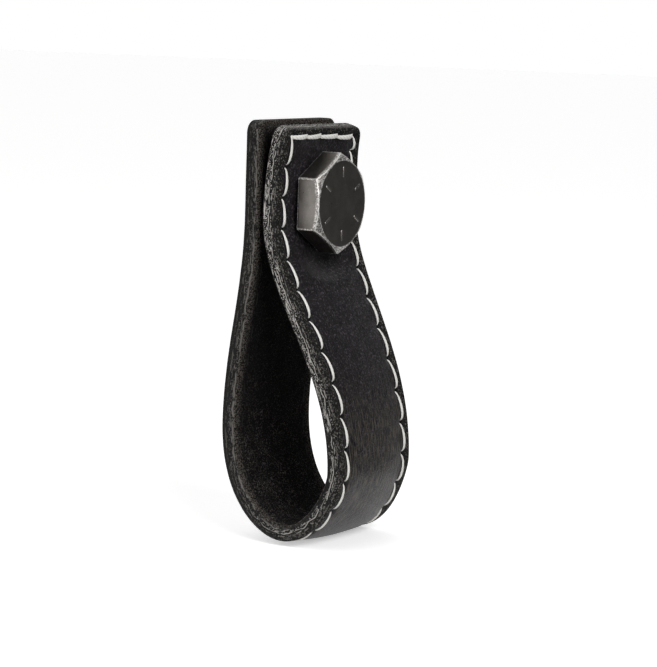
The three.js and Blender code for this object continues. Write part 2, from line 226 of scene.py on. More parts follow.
# Mesh steps
CURVE_STEPS = 900
ROW_STEP = 0.36
CORNER_ROWS = 9
EDGE_COLUMNS = 6
SEAM_STEP = 0.27
SEAM_BAND = 1.6  # how far inside the seam that step goes
MIDDLE_STEP = 0.8
WALL_STEPS = 8
BOLT_HOLE_SIDES = 96
STITCH_RINGS = 26
THREAD_SIDES = 15
SHANK_RINGS_PER_TURN = 10
CORNER_POINTS = 7  # round each corner of the hexagon
FACE_SHARES = (0.02, 0.3, 0.6, 0.85, 0.96)  # rings of the head's face
CHAMFER_SHARES = (0.2, 0.6)
FLAT_SHARES = (0.02, 0.06, 0.14, 0.24, 0.36, 0.5, 0.64, 0.76, 0.86, 0.94, 0.98)  # points between two corners
STRAP_SHARP_ANGLE = 60
BOLT_SHARP_ANGLE = 28

# Studio: dim on the room's side, white behind the object
WORLD_DIM = 0.055
WORLD_DIM_FROM = -0.45
WORLD_WHITE_FROM = 0.25
FLOOR_DIM = 0.1
FLOOR_DIM_FROM = -65.0
FLOOR_WHITE_FROM = -15.0
FLOOR_WHITE = 0.9
FLOOR_LIFT = 0.45
FLOOR_REACH = 4000.0
KEY_DIRECTION = (-0.45, -0.75, 0.55)
KEY_DISTANCE = 0.6
KEY_SIZE = 0.35
KEY_POWER = 2.6

# Camera, fitted to the photograph's outline
VIEW_AZIMUTH = 58.54
VIEW_PITCH = 6.71
VIEW_ROLL = 1.66
VIEW_DISTANCE = 529.151
VIEW_ASIDE = -2.683
VIEW_LIFT = -24.876
VIEW_LENS = 151.29
SENSOR_WIDTH = 36.0
CLIP_START = 0.01
CLIP_END = 50

GRAIN, EDGE, FLESH = range(3)  # the strap's materials

half_width = STRIP_WIDTH / 2
half_thickness = STRIP_THICKNESS / 2
seam_x = half_width - SEAM_INSET
inside_seam = seam_x - SEAM_BAND
corner_reach = ACROSS_FLATS / math.sqrt(3)
bolt_low, bolt_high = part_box("hex_bolt")
head_face = bolt_low.y / MILLIMETRE
shank_end = bolt_high.y / MILLIMETRE


def ease(value):
    """A smooth step from 0 to 1."""
    t = np.clip(value, 0.0, 1.0)
    return t * t * (3 - 2 * t)


def bell(distance):
    """A smooth hump: 1 at distance 0, and next to nothing from 2 on."""
    return np.exp(-distance * distance)


# Side view of the loop

def bezier(start, start_handle, end_handle, end):
    """A curve's points, from its two ends and the offsets of its handles from them."""
    t = np.linspace(0, 1, CURVE_STEPS)[:, None]
    start, start_handle, end_handle, end = np.array([start, start_handle, end_handle, end], dtype=float)
    points = (start, start + start_handle, end + end_handle, end)
    weights = ((1 - t) ** 3, 3 * (1 - t) ** 2 * t, 3 * (1 - t) * t ** 2, t ** 3)
    return sum(weight * point for weight, point in zip(weights, points))


def side_curves():
    """The curves of the strip's middle as (depth, height) points, from the back end to the front end."""
    back = -half_thickness
    back_end = (back, BACK_END_HEIGHT)
    straight_end = (back, BACK_STRAIGHT_TO)
    back_belly = (back + BACK_BELLY, BACK_BELLY_HEIGHT)
    foot = (back - FOOT_DEPTH, FOOT_HEIGHT)
    front_belly = (back - FRONT_BELLY, FRONT_BELLY_HEIGHT)
    waist = (back - LEG_SPACING, WAIST_HEIGHT)
    front_end = (back - LEG_SPACING - FLARE, FRONT_END_HEIGHT)
    flare_handle = (math.sin(FLARE_ANGLE) * FLARE_HANDLE, -math.cos(FLARE_ANGLE) * FLARE_HANDLE)
    return [
        bezier(back_end, (0, 0), (0, 0), straight_end),
        bezier(straight_end, (0, -BACK_STRAIGHT_HANDLE), (0, BACK_BELLY_UPPER_HANDLE), back_belly),
        bezier(back_belly, (0, -BACK_BELLY_LOWER_HANDLE), (FOOT_BACK_HANDLE, 0), foot),
        bezier(foot, (-FOOT_FRONT_HANDLE, 0), (0, -FRONT_BELLY_LOWER_HANDLE), front_belly),
        bezier(front_belly, (0, FRONT_BELLY_UPPER_HANDLE), (0, -WAIST_LOWER_HANDLE), waist),
        bezier(waist, (0, WAIST_UPPER_HANDLE), flare_handle, front_end),
    ]


def join_curves(curves):
    """One line through the curves, the length along it at each point, and where each curve ends."""
    line = np.concatenate([curves[0]] + [curve[1:] for curve in curves[1:]])
    steps = np.linalg.norm(np.diff(line, axis=0), axis=1)
    lengths = np.concatenate([[0.0], np.cumsum(steps)])
    ends = [lengths[(k + 1) * (CURVE_STEPS - 1)] for k in range(len(curves))]
    return line, lengths, ends


side_line, side_lengths, place_lengths = join_curves(side_curves())
side_tangents = np.gradient(side_line, side_lengths + np.arange(len(side_lengths)) * 1e-9, axis=0)
strip_length = side_lengths[-1]
straight_end_at, back_belly_at, foot_at, front_belly_at, waist_at, _ = place_lengths
on_front = side_lengths >= front_belly_at
bolt_at = np.interp(0.0, side_line[on_front, 1], side_lengths[on_front])

twist_keys = [
    (straight_end_at, 0.0),
    (back_belly_at, TWIST_BACK_BELLY),
    (foot_at, TWIST_FOOT),
    (front_belly_at, TWIST_FRONT_BELLY),
    (waist_at, TWIST_BELOW_BOLT),
    (strip_length, 0.0),
]


def twist_at(along):
    """The strip's twist at each length, in radians."""
    angle = np.zeros_like(along)
    for (start, start_twist), (end, end_twist) in zip(twist_keys, twist_keys[1:]):
        turned = start_twist + (end_twist - start_twist) * ease((along - start) / (end - start))
        angle = np.where(along >= start, turned, angle)
    return np.radians(angle)


def strip_frame(along):
    """The strip's middle, its width's direction and its outward normal at each length."""
    along = np.clip(along, 0.0, strip_length)
    depth = np.interp(along, side_lengths, side_line[:, 0])
    height = np.interp(along, side_lengths, side_line[:, 1])
    tangent_y = np.interp(along, side_lengths, side_tangents[:, 0])
    tangent_z = np.interp(along, side_lengths, side_tangents[:, 1])
    size = np.hypot(tangent_y, tangent_z)
    zero = np.zeros_like(along)
    middle = np.stack([zero, depth, height], axis=-1)
    outward = np.stack([zero, -tangent_z / size, tangent_y / size], axis=-1)
    twist = twist_at(along)[..., None]
    sideways = np.array([1.0, 0.0, 0.0])
    across = sideways * np.cos(twist) + outward * np.sin(twist)
    normal = outward * np.cos(twist) - sideways * np.sin(twist)
    return middle, across, normal


def strip_points(along, x, height):
    """Points in space from lengths, places across the strip and heights above its middle."""
    middle, across, normal = strip_frame(along)
    return middle + across * x[..., None] + normal * height[..., None]


# Seam

stitch_length = (strip_length - 2 * END_INSET) / LONG_ROW_STITCHES


def hole_along(stitches):
    """The length along the strip of a hole that is so many stitches from the back end's row."""
    even = END_INSET + stitches * stitch_length
    middle = strip_length - BELLY_SLIP_FROM_END
    ends = ease((strip_length - END_INSET - even) / stitch_length) * ease(stitches)
    return even - BELLY_SLIP * bell((even - middle) / BELLY_SLIP_SPREAD) * ends


def seam_holes():
    """The holes as (along, x), in the order in which the thread passes them."""
    short = 2 * seam_x / SHORT_ROW_STITCHES
    front_row = hole_along(LONG_ROW_STITCHES)
    near = [(hole_along(k), -seam_x) for k in range(LONG_ROW_STITCHES)]
    front_x = [k * short - seam_x for k in range(SHORT_ROW_STITCHES + 1)]
    front = [(front_row + FRONT_ROW_SHIFT - FRONT_ROW_SKEW * x / seam_x, x) for x in front_x]
    far = [(hole_along(k + FAR_ROW_SHIFT), seam_x) for k in reversed(range(LONG_ROW_STITCHES))]
    back = [(hole_along(0), seam_x - k * short) for k in range(SHORT_ROW_STITCHES)]
    return np.array(near + front + far + back)


holes = seam_holes()


def hole_shape(along, x, reach):
    """From 0 to 1: how near each place is to its nearest hole."""
    shape = np.zeros_like(along)
    for hole_at, hole_x in holes:
        on_short_row = abs(hole_x) < seam_x * 0.99
        first, second = reach[::-1] if on_short_row else reach
        away = np.hypot((along - hole_at) / first, (x - hole_x) / second)
        shape = np.maximum(shape, bell(away))
    return shape


def depth_inside(along, x, half_length, half_across):
    """How far inside a rectangle about the strip's centre each place is: outside it, less than 0."""
    out_along = np.abs(along - strip_length / 2) - half_length
    out_across = np.abs(x) - half_across
    beyond = np.hypot(np.maximum(out_along, 0), np.maximum(out_across, 0))
    return -beyond - np.minimum(np.maximum(out_along, out_across), 0)


def edge_distance(along, x):
    """How far inside the strip's outline each place is, with the outline's round corners."""
    inner = depth_inside(along, x, strip_length / 2 - CORNER_RADIUS, half_width - CORNER_RADIUS)
    return CORNER_RADIUS + inner


def seam_distance(along, x):
    """How far each place is from the line of the seam."""
    return np.abs(depth_inside(along, x, strip_length / 2 - END_INSET, seam_x))


def edge_fall(along, x, drop, width):
    """How far a side falls away at its round edge."""
    outer = 1 - np.clip(edge_distance(along, x) / width, 0, 1)
    return drop * (1 - np.sqrt(1 - outer ** 2))


def noise_at(points, length):
    """Smooth noise from -1 to 1 at points in millimetres, with waves of about that length."""
    return np.array([noise.noise(point) for point in points / length])


def face_base(along, x):
    """The grain side's height above the middle of the thickness, before the pits and the edge."""
    freed = ease((along - straight_end_at) / (foot_at - straight_end_at))
    free = half_thickness + CROWN * freed * np.maximum(0, 1 - (x / seam_x) ** 2)
    from_bolt = np.maximum(np.hypot(along - bolt_at, x), DENT_CENTRE)
    lengthwise = ((along - bolt_at) / from_bolt) ** 2
    slope = DENT_SLOPE_ACROSS + (DENT_SLOPE_ALONG - DENT_SLOPE_ACROSS) * lengthwise
    pressed = 1 - ease((from_bolt - corner_reach - DENT_FLAT_MARGIN) / slope)
    middle, across, normal = strip_frame(along)
    facing = np.where(pressed > 0, normal[..., 1], -1.0)
    flat = (PRESSED_DEPTH - middle[..., 1] - across[..., 1] * x) / facing
    return free + (np.minimum(flat, free) - free) * pressed


def face_height(along, x):
    """The grain side's height, with its pits, the groove under the thread and its round edge."""
    pit = PIT_DEPTH * hole_shape(along, x, PIT_REACH)
    gather = GATHER_DEPTH * hole_shape(along, x, GATHER_REACH)
    round_foot = bell((along - foot_at) / FOOT_STRETCH)
    groove_depth = GROOVE_DEPTH + (FOOT_GROOVE_DEPTH - GROOVE_DEPTH) * round_foot
    groove = groove_depth * bell(seam_distance(along, x) / GROOVE_WIDTH)
    return face_base(along, x) - pit - gather - groove - edge_fall(along, x, EDGE_DROP, EDGE_ROUND)


def flesh_height(along, x):
    """The flesh side's height, with its pits and its round edge."""
    pit = PIT_DEPTH * FLESH_PIT_SHARE * hole_shape(along, x, PIT_REACH)
    return -half_thickness + pit + edge_fall(along, x, FLESH_EDGE_ROUND, FLESH_EDGE_ROUND)


# Meshes

def add_object(name, data):
    added = bpy.data.objects.new(name, data)
    bpy.context.scene.collection.objects.link(added)
    return added


def make_object(name, points, faces, materials, face_materials=None, attributes=None):
    """A smooth mesh object from points in millimetres, with one number for each point in each attribute."""
    mesh = bpy.data.meshes.new(name)
    mesh.from_pydata((np.asarray(points) * MILLIMETRE).tolist(), [], faces)
    for material in materials:
        mesh.materials.append(material)
    if face_materials is not None:
        mesh.polygons.foreach_set("material_index", face_materials)
    for key, values in (attributes or {}).items():
        layer = mesh.attributes.new(key, "FLOAT", "POINT")
        layer.data.foreach_set("value", np.asarray(values, dtype=np.float32))
    mesh.polygons.foreach_set("use_smooth", [True] * len(faces))
    mesh.validate()
    mesh.update()
    return add_object(name, mesh)


def tube_faces(first, count, rings):
    """Quads between closed rings of points that follow each other, and a cap on each end."""
    faces = []
    for r in range(rings - 1):
        here = first + r * count
        there = here + count
        for k in range(count):
            following = (k + 1) % count
            faces.append((here + k, here + following, there + following, there + k))
    last = first + (rings - 1) * count
    faces.append(tuple(first + v for v in reversed(range(count))))
    faces.append(tuple(last + v for v in range(count)))
    return faces


def strap_rows():
    """Lengths of the strap's rows of points: closer together round the corners of the cut ends."""
    turn = np.linspace(0, math.pi / 2, CORNER_ROWS)
    corner = CORNER_RADIUS * (1 - np.cos(turn))
    count = round((strip_length - 2 * CORNER_RADIUS) / ROW_STEP)
    middle = np.linspace(CORNER_RADIUS, strip_length - CORNER_RADIUS, count)
    return np.concatenate([corner[:-1], middle, strip_length - corner[-2::-1]])


def strap_columns():
    """Places across the strap: close together at the edge and the seam."""
    turn = np.linspace(0, math.pi / 2, EDGE_COLUMNS)
    edge = half_width - EDGE_ROUND * (1 - np.cos(turn))
    seam_count = round((edge[-1] - inside_seam) / SEAM_STEP) + 1
    seam = np.linspace(edge[-1], inside_seam, seam_count)[1:]
    middle_count = round(inside_seam / MIDDLE_STEP) + 1
    middle = np.linspace(inside_seam, 0, middle_count)[1:]
    right = np.concatenate([edge, seam, middle])
    return np.concatenate([-right, right[-2::-1]])


def half_width_at(along):
    """Half the strip's width, less at the round corners of its ends."""
    from_end = np.minimum(along, strip_length - along)
    short = np.maximum(0, CORNER_RADIUS - from_end)
    return half_width - CORNER_RADIUS + np.sqrt(CORNER_RADIUS ** 2 - short ** 2)


def squeezed(along, x):
    """Near the round corners the outer places move in with the edge."""
    limit = half_width_at(along)
    share = (np.abs(x) - inside_seam) / (half_width - inside_seam)
    moved = np.sign(x) * (inside_seam + share * (limit - inside_seam))
    return np.where(np.abs(x) <= inside_seam, x, moved)


def strap_boundary(row_count, column_count):
    """The grid's outer points, once round."""
    near_end = [(0, c) for c in range(column_count)]
    far_side = [(r, column_count - 1) for r in range(1, row_count)]
    far_end = [(row_count - 1, c) for c in reversed(range(column_count - 1))]
    near_side = [(r, 0) for r in reversed(range(1, row_count - 1))]
    return [r * column_count + c for r, c in near_end + far_side + far_end + near_side]


def make_strap(materials):
    """The strap: a grain side, a flesh side and the cut edge that runs round between them."""
    rows = strap_rows()
    columns = strap_columns()
    along, x = np.meshgrid(rows, columns, indexing="ij")
    along = along.ravel()
    x = squeezed(along, x.ravel())
    top = face_height(along, x)
    bottom = flesh_height(along, x)
    boundary = np.array(strap_boundary(len(rows), len(columns)))
    grain_points = strip_points(along, x, top)
    flesh_points = strip_points(along, x, bottom)
    _, _, normals = strip_frame(along)
    inset = edge_distance(along, x)
    inner = np.clip(inset / EDGE_ROUND, 0, 1)
    wave = WAVE_HEIGHT * noise_at(grain_points, WAVE_LENGTH) * inner
    grain_points += normals * wave[:, None]
    fuzz = FLESH_ROUGHNESS * noise_at(flesh_points, EDGE_ROUGHNESS_LENGTH)
    flesh_points += normals * (fuzz * inner)[:, None]

    centre_along = np.clip(along[boundary], CORNER_RADIUS, strip_length - CORNER_RADIUS)
    centre_x = np.clip(x[boundary], CORNER_RADIUS - half_width, half_width - CORNER_RADIUS)
    out = np.stack([along[boundary] - centre_along, x[boundary] - centre_x])
    out /= np.linalg.norm(out, axis=0)
    walls = []
    wall_shares = np.linspace(1, 0, WALL_STEPS + 1)[1:-1]
    for share in wall_shares:
        swell = EDGE_BARREL * (1 - (2 * share - 1) ** 2)
        height = bottom[boundary] + (top[boundary] - bottom[boundary]) * share
        surface = strip_points(along[boundary], x[boundary], height)
        push = swell + noise_at(surface, EDGE_ROUGHNESS_LENGTH) * EDGE_ROUGHNESS
        walls.append(strip_points(along[boundary] + out[0] * push, x[boundary] + out[1] * push, height))

    points = np.concatenate([grain_points, flesh_points] + walls)
    grid = len(along)
    faces = []
    zones = []
    width = len(columns)
    for r in range(len(rows) - 1):
        for c in range(width - 1):
            a = r * width + c
            quad = (a, a + 1, a + width + 1, a + width)
            faces.append(quad)
            zones.append(GRAIN)
            faces.append(tuple(grid + v for v in reversed(quad)))
            zones.append(FLESH)
    levels = [boundary]
    levels += [2 * grid + k * len(boundary) + np.arange(len(boundary)) for k in range(len(walls))]
    levels += [boundary + grid]
    for upper, lower in zip(levels, levels[1:]):
        for k in range(len(boundary)):
            following = (k + 1) % len(boundary)
            faces.append(tuple(int(v) for v in (upper[k], lower[k], lower[following], upper[following])))
            zones.append(EDGE)

    gather = hole_shape(along, x, GATHER_REACH)
    on_walls = np.zeros(len(walls) * len(boundary))
    attributes = {
        "along": np.concatenate([along, along, np.tile(along[boundary], len(walls))]),
        "across": np.concatenate([x, x, np.tile(x[boundary], len(walls))]),
        "level": np.concatenate([np.ones(grid), np.zeros(grid), np.repeat(wall_shares, len(boundary))]),
        "inset": np.concatenate([inset, inset, on_walls]),
        "gather": np.concatenate([gather, gather, on_walls]),
    }
    piece = make_object("leather_loop", points, faces, materials, zones, attributes)
    drill(piece)
    return piece


def drill(piece):
    """Cuts the bolt's hole through both legs."""
    bpy.ops.mesh.primitive_cylinder_add(
        vertices=BOLT_HOLE_SIDES,
        radius=(SHANK_RADIUS + HOLE_CLEARANCE) * MILLIMETRE,
        depth=STRIP_WIDTH * MILLIMETRE,
        rotation=(math.pi / 2, 0, 0),
    )
    cutter = bpy.context.object
    modifier = piece.modifiers.new("bolt_hole", "BOOLEAN")
    modifier.operation = "DIFFERENCE"
    modifier.object = cutter
    modifier.solver = "EXACT"
    graph = bpy.context.evaluated_depsgraph_get()
    cut = bpy.data.meshes.new_from_object(piece.evaluated_get(graph), depsgraph=graph)
    piece.modifiers.clear()
    piece.data = cut
    bpy.data.objects.remove(cutter)


def stitch_ends(k):
    """A stitch's tucked end and its free end as (along, x): it dives steeply at the tucked one."""
    start = holes[k]
    end = holes[(k + 1) % len(holes)]
    if abs(end[0] - start[0]) > abs(end[1] - start[1]):  # on a long row
        return (start, end) if end[0] > start[0] else (end, start)
    slant = np.array([SHORT_ROW_SLANT if start[0] > foot_at else -SHORT_ROW_SLANT, 0.0])
    tucked, free = (end, start) if end[1] > start[1] else (start, end)
    return tucked + slant, free - slant


def make_seam(name, material, side, sizes, dip, rise, foot_rise):
    """All the stitches of one thread: each is a flat twisted cord from one hole to the next."""
    wide, thick = sizes
    points = []
    faces = []
    plies = []
    part = (1 - np.cos(np.linspace(0, math.pi, STITCH_RINGS))) / 2
    turn = np.linspace(0, 2 * math.pi, THREAD_SIDES, endpoint=False)
    for k in range(len(holes)):
        start, end = stitch_ends(k)
        covered = TUCK_GAP + (1 - TUCK_GAP) * part
        along = start[0] + (end[0] - start[0]) * covered
        x = start[1] + (end[1] - start[1]) * covered
        wander = STITCH_WANDER * noise.noise(Vector((k, side, STITCH_WANDER_SEED)))
        skew = TUCK_SKEW + TUCK_SKEW_WANDER * noise.noise(Vector((k, side, TUCK_SKEW_SEED)))
        arch = np.maximum(np.sin(math.pi * part ** skew), 0)
        base = face_base(along, x) if side > 0 else np.full_like(along, half_thickness)
        top = rise + (foot_rise - rise) * bell((along - foot_at) / FOOT_STRETCH) + wander
        lift = -dip + (top + dip) * arch ** THREAD_FULLNESS
        line = strip_points(along, x, side * (base + lift))
        _, _, normal = strip_frame(along)
        tangent = np.gradient(line, axis=0)
        tangent[0] = line[1] - line[0]
        tangent[-1] = line[-1] - line[-2]
        tangent /= np.linalg.norm(tangent, axis=1)[:, None]
        sideways = np.cross(normal, tangent)
        sideways /= np.linalg.norm(sideways, axis=1)[:, None]
        up = np.cross(tangent, sideways)
        in_short_row = abs(end[1] - start[1]) > abs(end[0] - start[0])
        across = wide * (SHORT_ROW_WIDENING if in_short_row else 1.0)
        taper = SHORT_ROW_TAPER if in_short_row else THREAD_TAPER
        slim = 1 - taper + taper * arch ** THREAD_SLIMMING
        length = np.linalg.norm(end - start) / stitch_length
        twist = 2 * math.pi * PLY_TURNS * length * part[:, None] + k
        lobes = np.abs(np.cos(PLY_COUNT / 2 * (turn[None, :] - twist)))
        size = slim[:, None] * (1 - PLY_DEPTH + PLY_DEPTH * lobes)
        first = len(points) * STITCH_RINGS * THREAD_SIDES
        rings = (
            line[:, None, :]
            + sideways[:, None, :] * (size * across * np.cos(turn))[..., None]
            + up[:, None, :] * (size * thick * np.sin(turn))[..., None]
        )
        points.append(rings.reshape(-1, 3))
        plies.append(lobes.ravel())
        faces += tube_faces(first, THREAD_SIDES, STITCH_RINGS)
    attributes = {"ply": np.concatenate(plies)}
    return make_object(name, np.concatenate(points), faces, [material], attributes=attributes)


def pointing(angle):
    """The direction (x, z) of an angle."""
    return np.array([math.cos(angle), math.sin(angle)])


def hexagon_outline():
    """Points (x, z) of the head's hexagon with its corners a little round."""
    half_side = math.radians(30)
    inner_corner = (ACROSS_FLATS / 2 - CORNER_ROUND) / math.cos(half_side)
    outline = []
    for k in range(6):
        corner_angle = math.radians(90 - HEAD_TURN - 60 * k)
        centre = inner_corner * pointing(corner_angle)
        for share in np.linspace(1, -1, CORNER_POINTS):
            outline.append(centre + CORNER_ROUND * pointing(corner_angle + half_side * share))
        next_centre = inner_corner * pointing(corner_angle - 2 * half_side)
        out = CORNER_ROUND * pointing(corner_angle - half_side)
        for share in FLAT_SHARES:
            outline.append(centre + (next_centre - centre) * share + out)
    return np.array(outline)


def thread_wave(phase):
    """A screw thread's section: flat-sided, from 0 at the crest to 1 at the root."""
    return np.clip(SCREW_FLANK * np.abs(2 * (phase % 1.0) - 1) - SCREW_CREST, 0, 1)


def make_bolt(material):
    """The bolt, as rings of points from the middle of the head's face to the bottom of its tapped hole."""
    outline = hexagon_outline()
    reach = np.linalg.norm(outline, axis=1)
    direction = outline / reach[:, None]
    angle = np.arctan2(direction[:, 1], direction[:, 0])
    at_corner = np.tile([1.0] * CORNER_POINTS + [0.0] * len(FLAT_SHARES), 6)
    rings = []
    wear = []

    def ring(radius, depth, worn, corners_worn=0.0):
        size = np.broadcast_to(radius, reach.shape)
        place = np.broadcast_to(depth, reach.shape)
        rings.append(np.stack([direction[:, 0] * size, place, direction[:, 1] * size], axis=1))
        wear.append(np.maximum(worn, at_corner * corners_worn))

    circle = CHAMFER_CIRCLE_RADIUS
    hexagon_back = SEAT_DEPTH - WASHER_FACE_HEIGHT
    edge_depth = head_face + (reach - circle) * CHAMFER_SLOPE
    for share in FACE_SHARES:
        ring(circle * share, head_face, 0.0)
    ring(circle - EDGE_BREAK, head_face, 0.6)
    ring(circle, head_face + EDGE_BREAK * 0.2, 1.0)
    for share in CHAMFER_SHARES:
        past_circle = (reach - circle) * share
        ring(circle + past_circle, head_face + past_circle * CHAMFER_SLOPE, CHAMFER_WEAR)
    ring(reach - EDGE_BREAK * 0.6, edge_depth - EDGE_BREAK * 0.6 * CHAMFER_SLOPE, 1.0)
    ring(reach - EDGE_BREAK * 0.1, edge_depth + EDGE_BREAK * 0.3, 1.0)
    ring(reach, edge_depth + EDGE_BREAK, 0.8)
    # on the flats the worn share is also a painted reflection, brightest near the head's face
    for share, worn in FLAT_WEAR_AND_REFLECTION:
        ring(reach, edge_depth + (hexagon_back - EDGE_BREAK - edge_depth) * share, worn, CORNER_WEAR)
    ring(reach, hexagon_back - EDGE_BREAK * 1.6, 0.75, 1.0)
    ring(reach - EDGE_BREAK * 0.2, hexagon_back - EDGE_BREAK * 0.8, 1.0)
    ring(reach - EDGE_BREAK, hexagon_back, 0.8)
    ring(WASHER_FACE_RADIUS, hexagon_back, WASHER_WEAR)
    ring(WASHER_FACE_RADIUS, SEAT_DEPTH - EDGE_BREAK, WASHER_WEAR)
    ring(WASHER_FACE_RADIUS - EDGE_BREAK, SEAT_DEPTH, WASHER_WEAR)
    ring(SHANK_RADIUS, SEAT_DEPTH, 0.0)

    thread_start = SEAT_DEPTH + SHANK_PITCH
    thread_end = shank_end - SHANK_CHAMFER
    count = round((thread_end - thread_start) / SHANK_PITCH * SHANK_RINGS_PER_TURN)
    for depth in np.linspace(thread_start, thread_end, count):
        fade = ease((depth - thread_start) / SHANK_PITCH)
        cut = SHANK_THREAD_DEPTH * fade * thread_wave(depth / SHANK_PITCH + angle / (2 * math.pi))
        ring(SHANK_RADIUS - cut, depth, SHANK_WEAR)
    ring(SHANK_RADIUS - SHANK_CHAMFER, shank_end, SHANK_END_WEAR)
    ring(TAPPED_RADIUS + TAPPED_MOUTH, shank_end, SHANK_END_WEAR)
    ring(TAPPED_RADIUS, shank_end - TAPPED_MOUTH, SHANK_END_WEAR)

    tapped_end = shank_end - TAPPED_DEPTH
    count = round((TAPPED_DEPTH - TAPPED_MOUTH) / TAPPED_PITCH * SHANK_RINGS_PER_TURN)
    for depth in np.linspace(shank_end - TAPPED_MOUTH, tapped_end + TAPPED_PITCH, count)[1:]:
        cut = TAPPED_THREAD_DEPTH * thread_wave(depth / TAPPED_PITCH + angle / (2 * math.pi))
        ring(TAPPED_RADIUS + TAPPED_THREAD_DEPTH - cut, depth, TAPPED_WEAR)
    ring(TAPPED_RADIUS, tapped_end + TAPPED_PITCH / 2, 0.1)
    ring(TAPPED_RADIUS * 0.5, tapped_end, 0.0)

    points = np.concatenate(rings)
    faces = [tuple(reversed(face)) for face in tube_faces(0, len(reach), len(rings))]
    dash_points, dash_faces, dash_worn = head_dashes(len(points))
    points = np.concatenate([points, dash_points])
    attributes = {"worn": np.concatenate(wear + [dash_worn])}
    piece = make_object("cap_bolt", points, faces + dash_faces, [material], attributes=attributes)
    piece.data.set_sharp_from_angle(angle=math.radians(BOLT_SHARP_ANGLE))
    return piece


def head_dashes(first):
    """Short raised strokes that point at the middle of the head's face."""
    points = []
    faces = []
    worn = []
    outline = []
    end = DASH_LENGTH / 2 - DASH_WIDTH / 2
    for side in (1, -1):
        for turn in np.linspace(-math.pi / 2, math.pi / 2, DASH_END_POINTS):
            along = side * (end + math.cos(turn) * DASH_WIDTH / 2)
            outline.append((along, side * math.sin(turn) * DASH_WIDTH / 2))
    outline = np.array(outline)
    count = len(outline)
    for k in range(DASH_COUNT):
        angle = math.radians(360 / DASH_COUNT * k + 30 - HEAD_TURN)
        ahead = pointing(angle)
        aside = np.array([-math.sin(angle), math.cos(angle)])
        base = first + len(points)
        for spread, level, wear in DASH_LEVELS:
            for along, across in outline:
                along_size = along + np.sign(along) * DASH_WIDTH / 2 * (spread - 1)
                place = ahead * (DASH_MIDDLE + along_size) + aside * (across * spread)
                points.append((place[0], head_face - DASH_HEIGHT * level, place[1]))
                worn.append(wear)
        faces += [tuple(reversed(face)) for face in tube_faces(base, count, len(DASH_LEVELS))]
    return np.array(points), faces, np.array(worn)


# Materials

class Nodes:
    """A node tree with short ways to add nodes."""

    def __init__(self, tree):
        self.tree = tree

    def add(self, kind, inputs=None, **settings):
        node = self.tree.nodes.new(kind)
        for key, value in settings.items():
            setattr(node, key, value)
        for key, value in (inputs or {}).items():
            self.put(node.inputs[key], value)
        return node

    def put(self, socket, value):
        if isinstance(value, bpy.types.NodeSocket):
            self.tree.links.new(value, socket)
        else:
            socket.default_value = value

    def attribute(self, name):
        return self.add("ShaderNodeAttribute", attribute_name=name).outputs["Fac"]

    def place(self):
        return self.add("ShaderNodeTexCoord").outputs["Object"]

    def noise(self, size, detail=3.0, vector=None, roughness=0.5):
        """Noise from 0 to 1 with lumps of about that size in millimetres."""
        scale = 1 / (size * MILLIMETRE) if vector is None else 1 / size
        inputs = {"Vector": vector or self.place(), "Scale": scale, "Detail": detail, "Roughness": roughness}
        return self.add("ShaderNodeTexNoise", inputs).outputs["Fac"]

    def cells(self, size):
        inputs = {"Vector": self.place(), "Scale": 1 / (size * MILLIMETRE)}
        return self.add("ShaderNodeTexVoronoi", inputs, feature="SMOOTH_F1").outputs["Distance"]

    def strip_vector(self, along_scale, across_scale):
        """A vector of the length and the place across the strip, each stretched."""
        first = self.times(self.attribute("along"), along_scale)
        second = self.times(self.attribute("across"), across_scale)
        third = self.times(self.attribute("level"), across_scale)
        return self.add("ShaderNodeCombineXYZ", {"X": first, "Y": second, "Z": third}).outputs["Vector"]

    def math(self, operation, first, second=0.0):
        return self.add("ShaderNodeMath", {0: first, 1: second}, operation=operation).outputs[0]

    def times(self, first, second):
        return self.math("MULTIPLY", first, second)

    def distance(self, value, place):
        return self.math("ABSOLUTE", self.math("SUBTRACT", value, place))

    def span(self, value, start, end, low=0.0, high=1.0):
        """The value's range from start to end spread smoothly over low to high."""
        inputs = {"Value": value, "From Min": start, "From Max": end, "To Min": low, "To Max": high}
        return self.add("ShaderNodeMapRange", inputs, interpolation_type="SMOOTHSTEP").outputs["Result"]

    def blend(self, share, first, second):
        inputs = {"Factor": share, 6: first, 7: second}
        return self.add("ShaderNodeMix", data_type="RGBA", inputs=inputs).outputs[2]

    def bump(self, height, depth, normal=None):
        """Relief of that depth in millimetres."""
        inputs = {"Height": height, "Strength": 1.0, "Distance": depth * MILLIMETRE}
        if normal is not None:
            inputs["Normal"] = normal
        return self.add("ShaderNodeBump", inputs).outputs["Normal"]


class Shader(Nodes):
    """A material with its node tree and its surface shader."""

    def __init__(self, name):
        self.material = bpy.data.materials.new(name)
        self.material.use_nodes = True
        super().__init__(self.material.node_tree)
        self.surface = self.tree.nodes["Principled BSDF"]

    def set(self, **values):
        for key, value in values.items():
            self.put(self.surface.inputs[key.replace("_", " ")], value)


def colour(red, green, blue):
    return (red, green, blue, 1.0)


def past(place, stretch):
    """A stretch of the strip, counted from a place on it."""
    return place + stretch[0], place + stretch[1]


